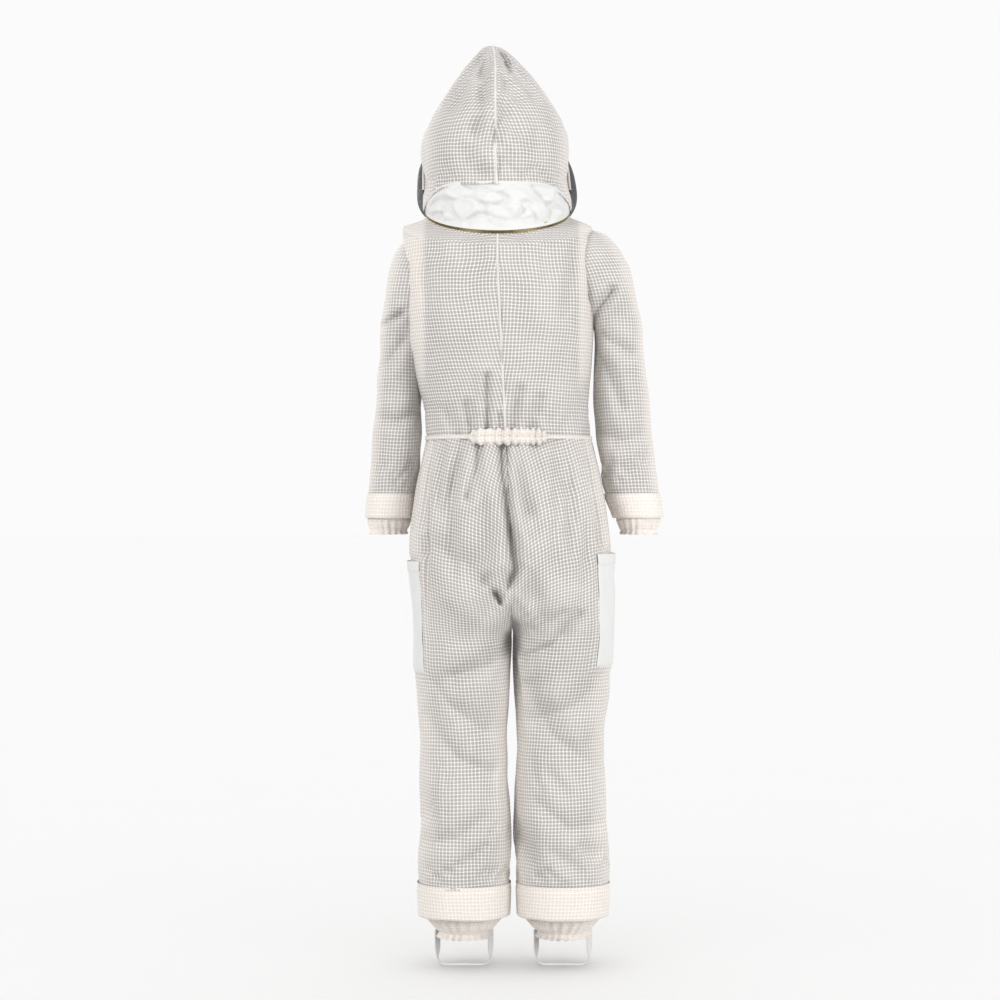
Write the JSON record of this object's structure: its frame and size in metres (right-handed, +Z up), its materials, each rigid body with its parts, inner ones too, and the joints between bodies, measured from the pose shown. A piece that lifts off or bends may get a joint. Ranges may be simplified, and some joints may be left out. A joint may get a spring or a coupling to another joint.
{
  "type": "ventilated beekeeping suit",
  "caption": "Full-length ventilated beekeeping suit with a zip-on veiled hood, gathered wrists and ankles, foot straps and patch pockets, shown as worn.",
  "frame": {"origin": "between the wearer's shoulders, at the height of the shoulder seams, where the suit is carried", "axes": "+Z up, -Y is the front of the suit, +X is the wearer's left"},
  "size_m": [0.6024, 0.3192, 1.8302],
  "materials": {
    "mesh_cloth": "matte",
    "mesh_binding": "matte",
    "cuff_cloth": "matte",
    "white_cloth": "matte",
    "elastic": "matte",
    "veil_net": "matte",
    "zip_tape": "matte",
    "hook_and_loop": "matte",
    "zip_brass": "satin"
  },
  "bodies": {
    "torso": {"bodice_front_left": "mesh_cloth", "bodice_front_right": "mesh_cloth", "bodice_back_left": "mesh_cloth", "bodice_back_right": "mesh_cloth", "waist_casing": "mesh_binding", "waist_elastic": "elastic", "seat_front_left": "mesh_cloth", "seat_front_right": "mesh_cloth", "seat_back_left": "mesh_cloth", "seat_back_right": "mesh_cloth", "sleeve_head_left": "mesh_cloth", "sleeve_head_right": "mesh_cloth", "chest_pocket": "white_cloth", "thigh_pocket_left": "white_cloth", "thigh_pocket_right": "white_cloth", "collar_zip_tape_lower": "zip_tape", "collar_zip_teeth_lower": "zip_brass", "front_zip_tape_left": "zip_tape", "front_zip_tape_right": "zip_tape", "front_zip_teeth": "zip_brass", "front_zip_stop": "zip_brass"},
    "hood": {"hood_band": "white_cloth", "hood_crown_left": "mesh_cloth", "hood_crown_right": "mesh_cloth", "hood_seam_binding": "mesh_binding", "veil": "veil_net", "veil_piping": "mesh_binding", "collar_zip_tape_upper": "zip_tape", "collar_zip_teeth_upper": "zip_brass", "flap_loop_patch": "hook_and_loop"},
    "zip_slider": {"front_zip_slider": "zip_brass"},
    "zip_pull": {"front_zip_pull": "zip_brass"},
    "flap": {"throat_flap": "white_cloth", "flap_hook_patch": "hook_and_loop"},
    "sleeve_upper_left": {"sleeve_upper_left": "mesh_cloth"},
    "sleeve_lower_left": {"sleeve_lower_left": "mesh_cloth", "sleeve_hem_left": "mesh_binding", "wrist_cuff_left": "cuff_cloth", "wrist_elastic_left": "elastic"},
    "leg_upper_left": {"leg_upper_left": "mesh_cloth"},
    "leg_lower_left": {"leg_lower_left": "mesh_cloth", "leg_hem_left": "mesh_binding", "ankle_cuff_left": "cuff_cloth", "ankle_elastic_left": "elastic", "stirrup_strap_left": "elastic"},
    "collar_slider_left": {"collar_zip_slider_left": "zip_brass", "collar_zip_pull_left": "zip_brass"},
    "sleeve_upper_right": {"sleeve_upper_right": "mesh_cloth"},
    "sleeve_lower_right": {"sleeve_lower_right": "mesh_cloth", "sleeve_hem_right": "mesh_binding", "wrist_cuff_right": "cuff_cloth", "wrist_elastic_right": "elastic"},
    "leg_upper_right": {"leg_upper_right": "mesh_cloth"},
    "leg_lower_right": {"leg_lower_right": "mesh_cloth", "leg_hem_right": "mesh_binding", "ankle_cuff_right": "cuff_cloth", "ankle_elastic_right": "elastic", "stirrup_strap_right": "elastic"},
    "collar_slider_right": {"collar_zip_slider_right": "zip_brass", "collar_zip_pull_right": "zip_brass"}
  },
  "joints": [
    {"name": "hood_fold", "type": "hinge", "parent": "torso", "child": "hood", "pos_m": [0, 0.1375, -0.021], "axis": [-1, 0, 0], "range_deg": [0, 110]},
    {"name": "front_zip", "type": "slide", "parent": "torso", "child": "zip_slider", "axis": [-0.0479, 0, -0.9989], "range_m": [0, 0.535]},
    {"name": "front_zip_pull_swing", "type": "hinge", "parent": "zip_slider", "child": "zip_pull", "pos_m": [-0.00163, -0.1514, -0.11996], "axis": [-1, 0, 0], "range_deg": [0, 140]},
    {"name": "throat_flap_open", "type": "hinge", "parent": "torso", "child": "flap", "pos_m": [0, -0.1572, -0.084], "axis": [1, 0, 0], "range_deg": [0, 150]},
    {"name": "shoulder_left", "type": "hinge", "parent": "torso", "child": "sleeve_upper_left", "pos_m": [0.155, 0, -0.082], "axis": [0, -1, 0], "range_deg": [0, 60]},
    {"name": "elbow_left", "type": "hinge", "parent": "sleeve_upper_left", "child": "sleeve_lower_left", "pos_m": [0.155, -0.04, -0.32], "axis": [-1, 0, 0], "range_deg": [0, 80]},
    {"name": "hip_left", "type": "hinge", "parent": "torso", "child": "leg_upper_left", "pos_m": [0.07, 0.01, -0.61], "axis": [-1, 0, 0], "range_deg": [0, 40]},
    {"name": "knee_left", "type": "hinge", "parent": "leg_upper_left", "child": "leg_lower_left", "pos_m": [0.07, -0.018, -1.01], "axis": [1, 0, 0], "range_deg": [0, 60]},
    {"name": "collar_zip_left", "type": "hinge", "parent": "torso", "child": "collar_slider_left", "pos_m": [0, 0, 0.027], "axis": [0, -0.4067, 0.9135], "range_deg": [0, 80]},
    {"name": "shoulder_right", "type": "hinge", "parent": "torso", "child": "sleeve_upper_right", "pos_m": [-0.19, 0, -0.085], "axis": [0, 1, 0], "range_deg": [0, 60]},
    {"name": "elbow_right", "type": "hinge", "parent": "sleeve_upper_right", "child": "sleeve_lower_right", "pos_m": [-0.19, -0.03, -0.32], "axis": [-1, 0, 0], "range_deg": [0, 80]},
    {"name": "hip_right", "type": "hinge", "parent": "torso", "child": "leg_upper_right", "pos_m": [-0.13, 0.01, -0.61], "axis": [-1, 0, 0], "range_deg": [0, 40]},
    {"name": "knee_right", "type": "hinge", "parent": "leg_upper_right", "child": "leg_lower_right", "pos_m": [-0.13, -0.018, -1.01], "axis": [1, 0, 0], "range_deg": [0, 60]},
    {"name": "collar_zip_right", "type": "hinge", "parent": "torso", "child": "collar_slider_right", "pos_m": [0, 0, 0.027], "axis": [0, 0.4067, -0.9135], "range_deg": [0, 80]}
  ]
}
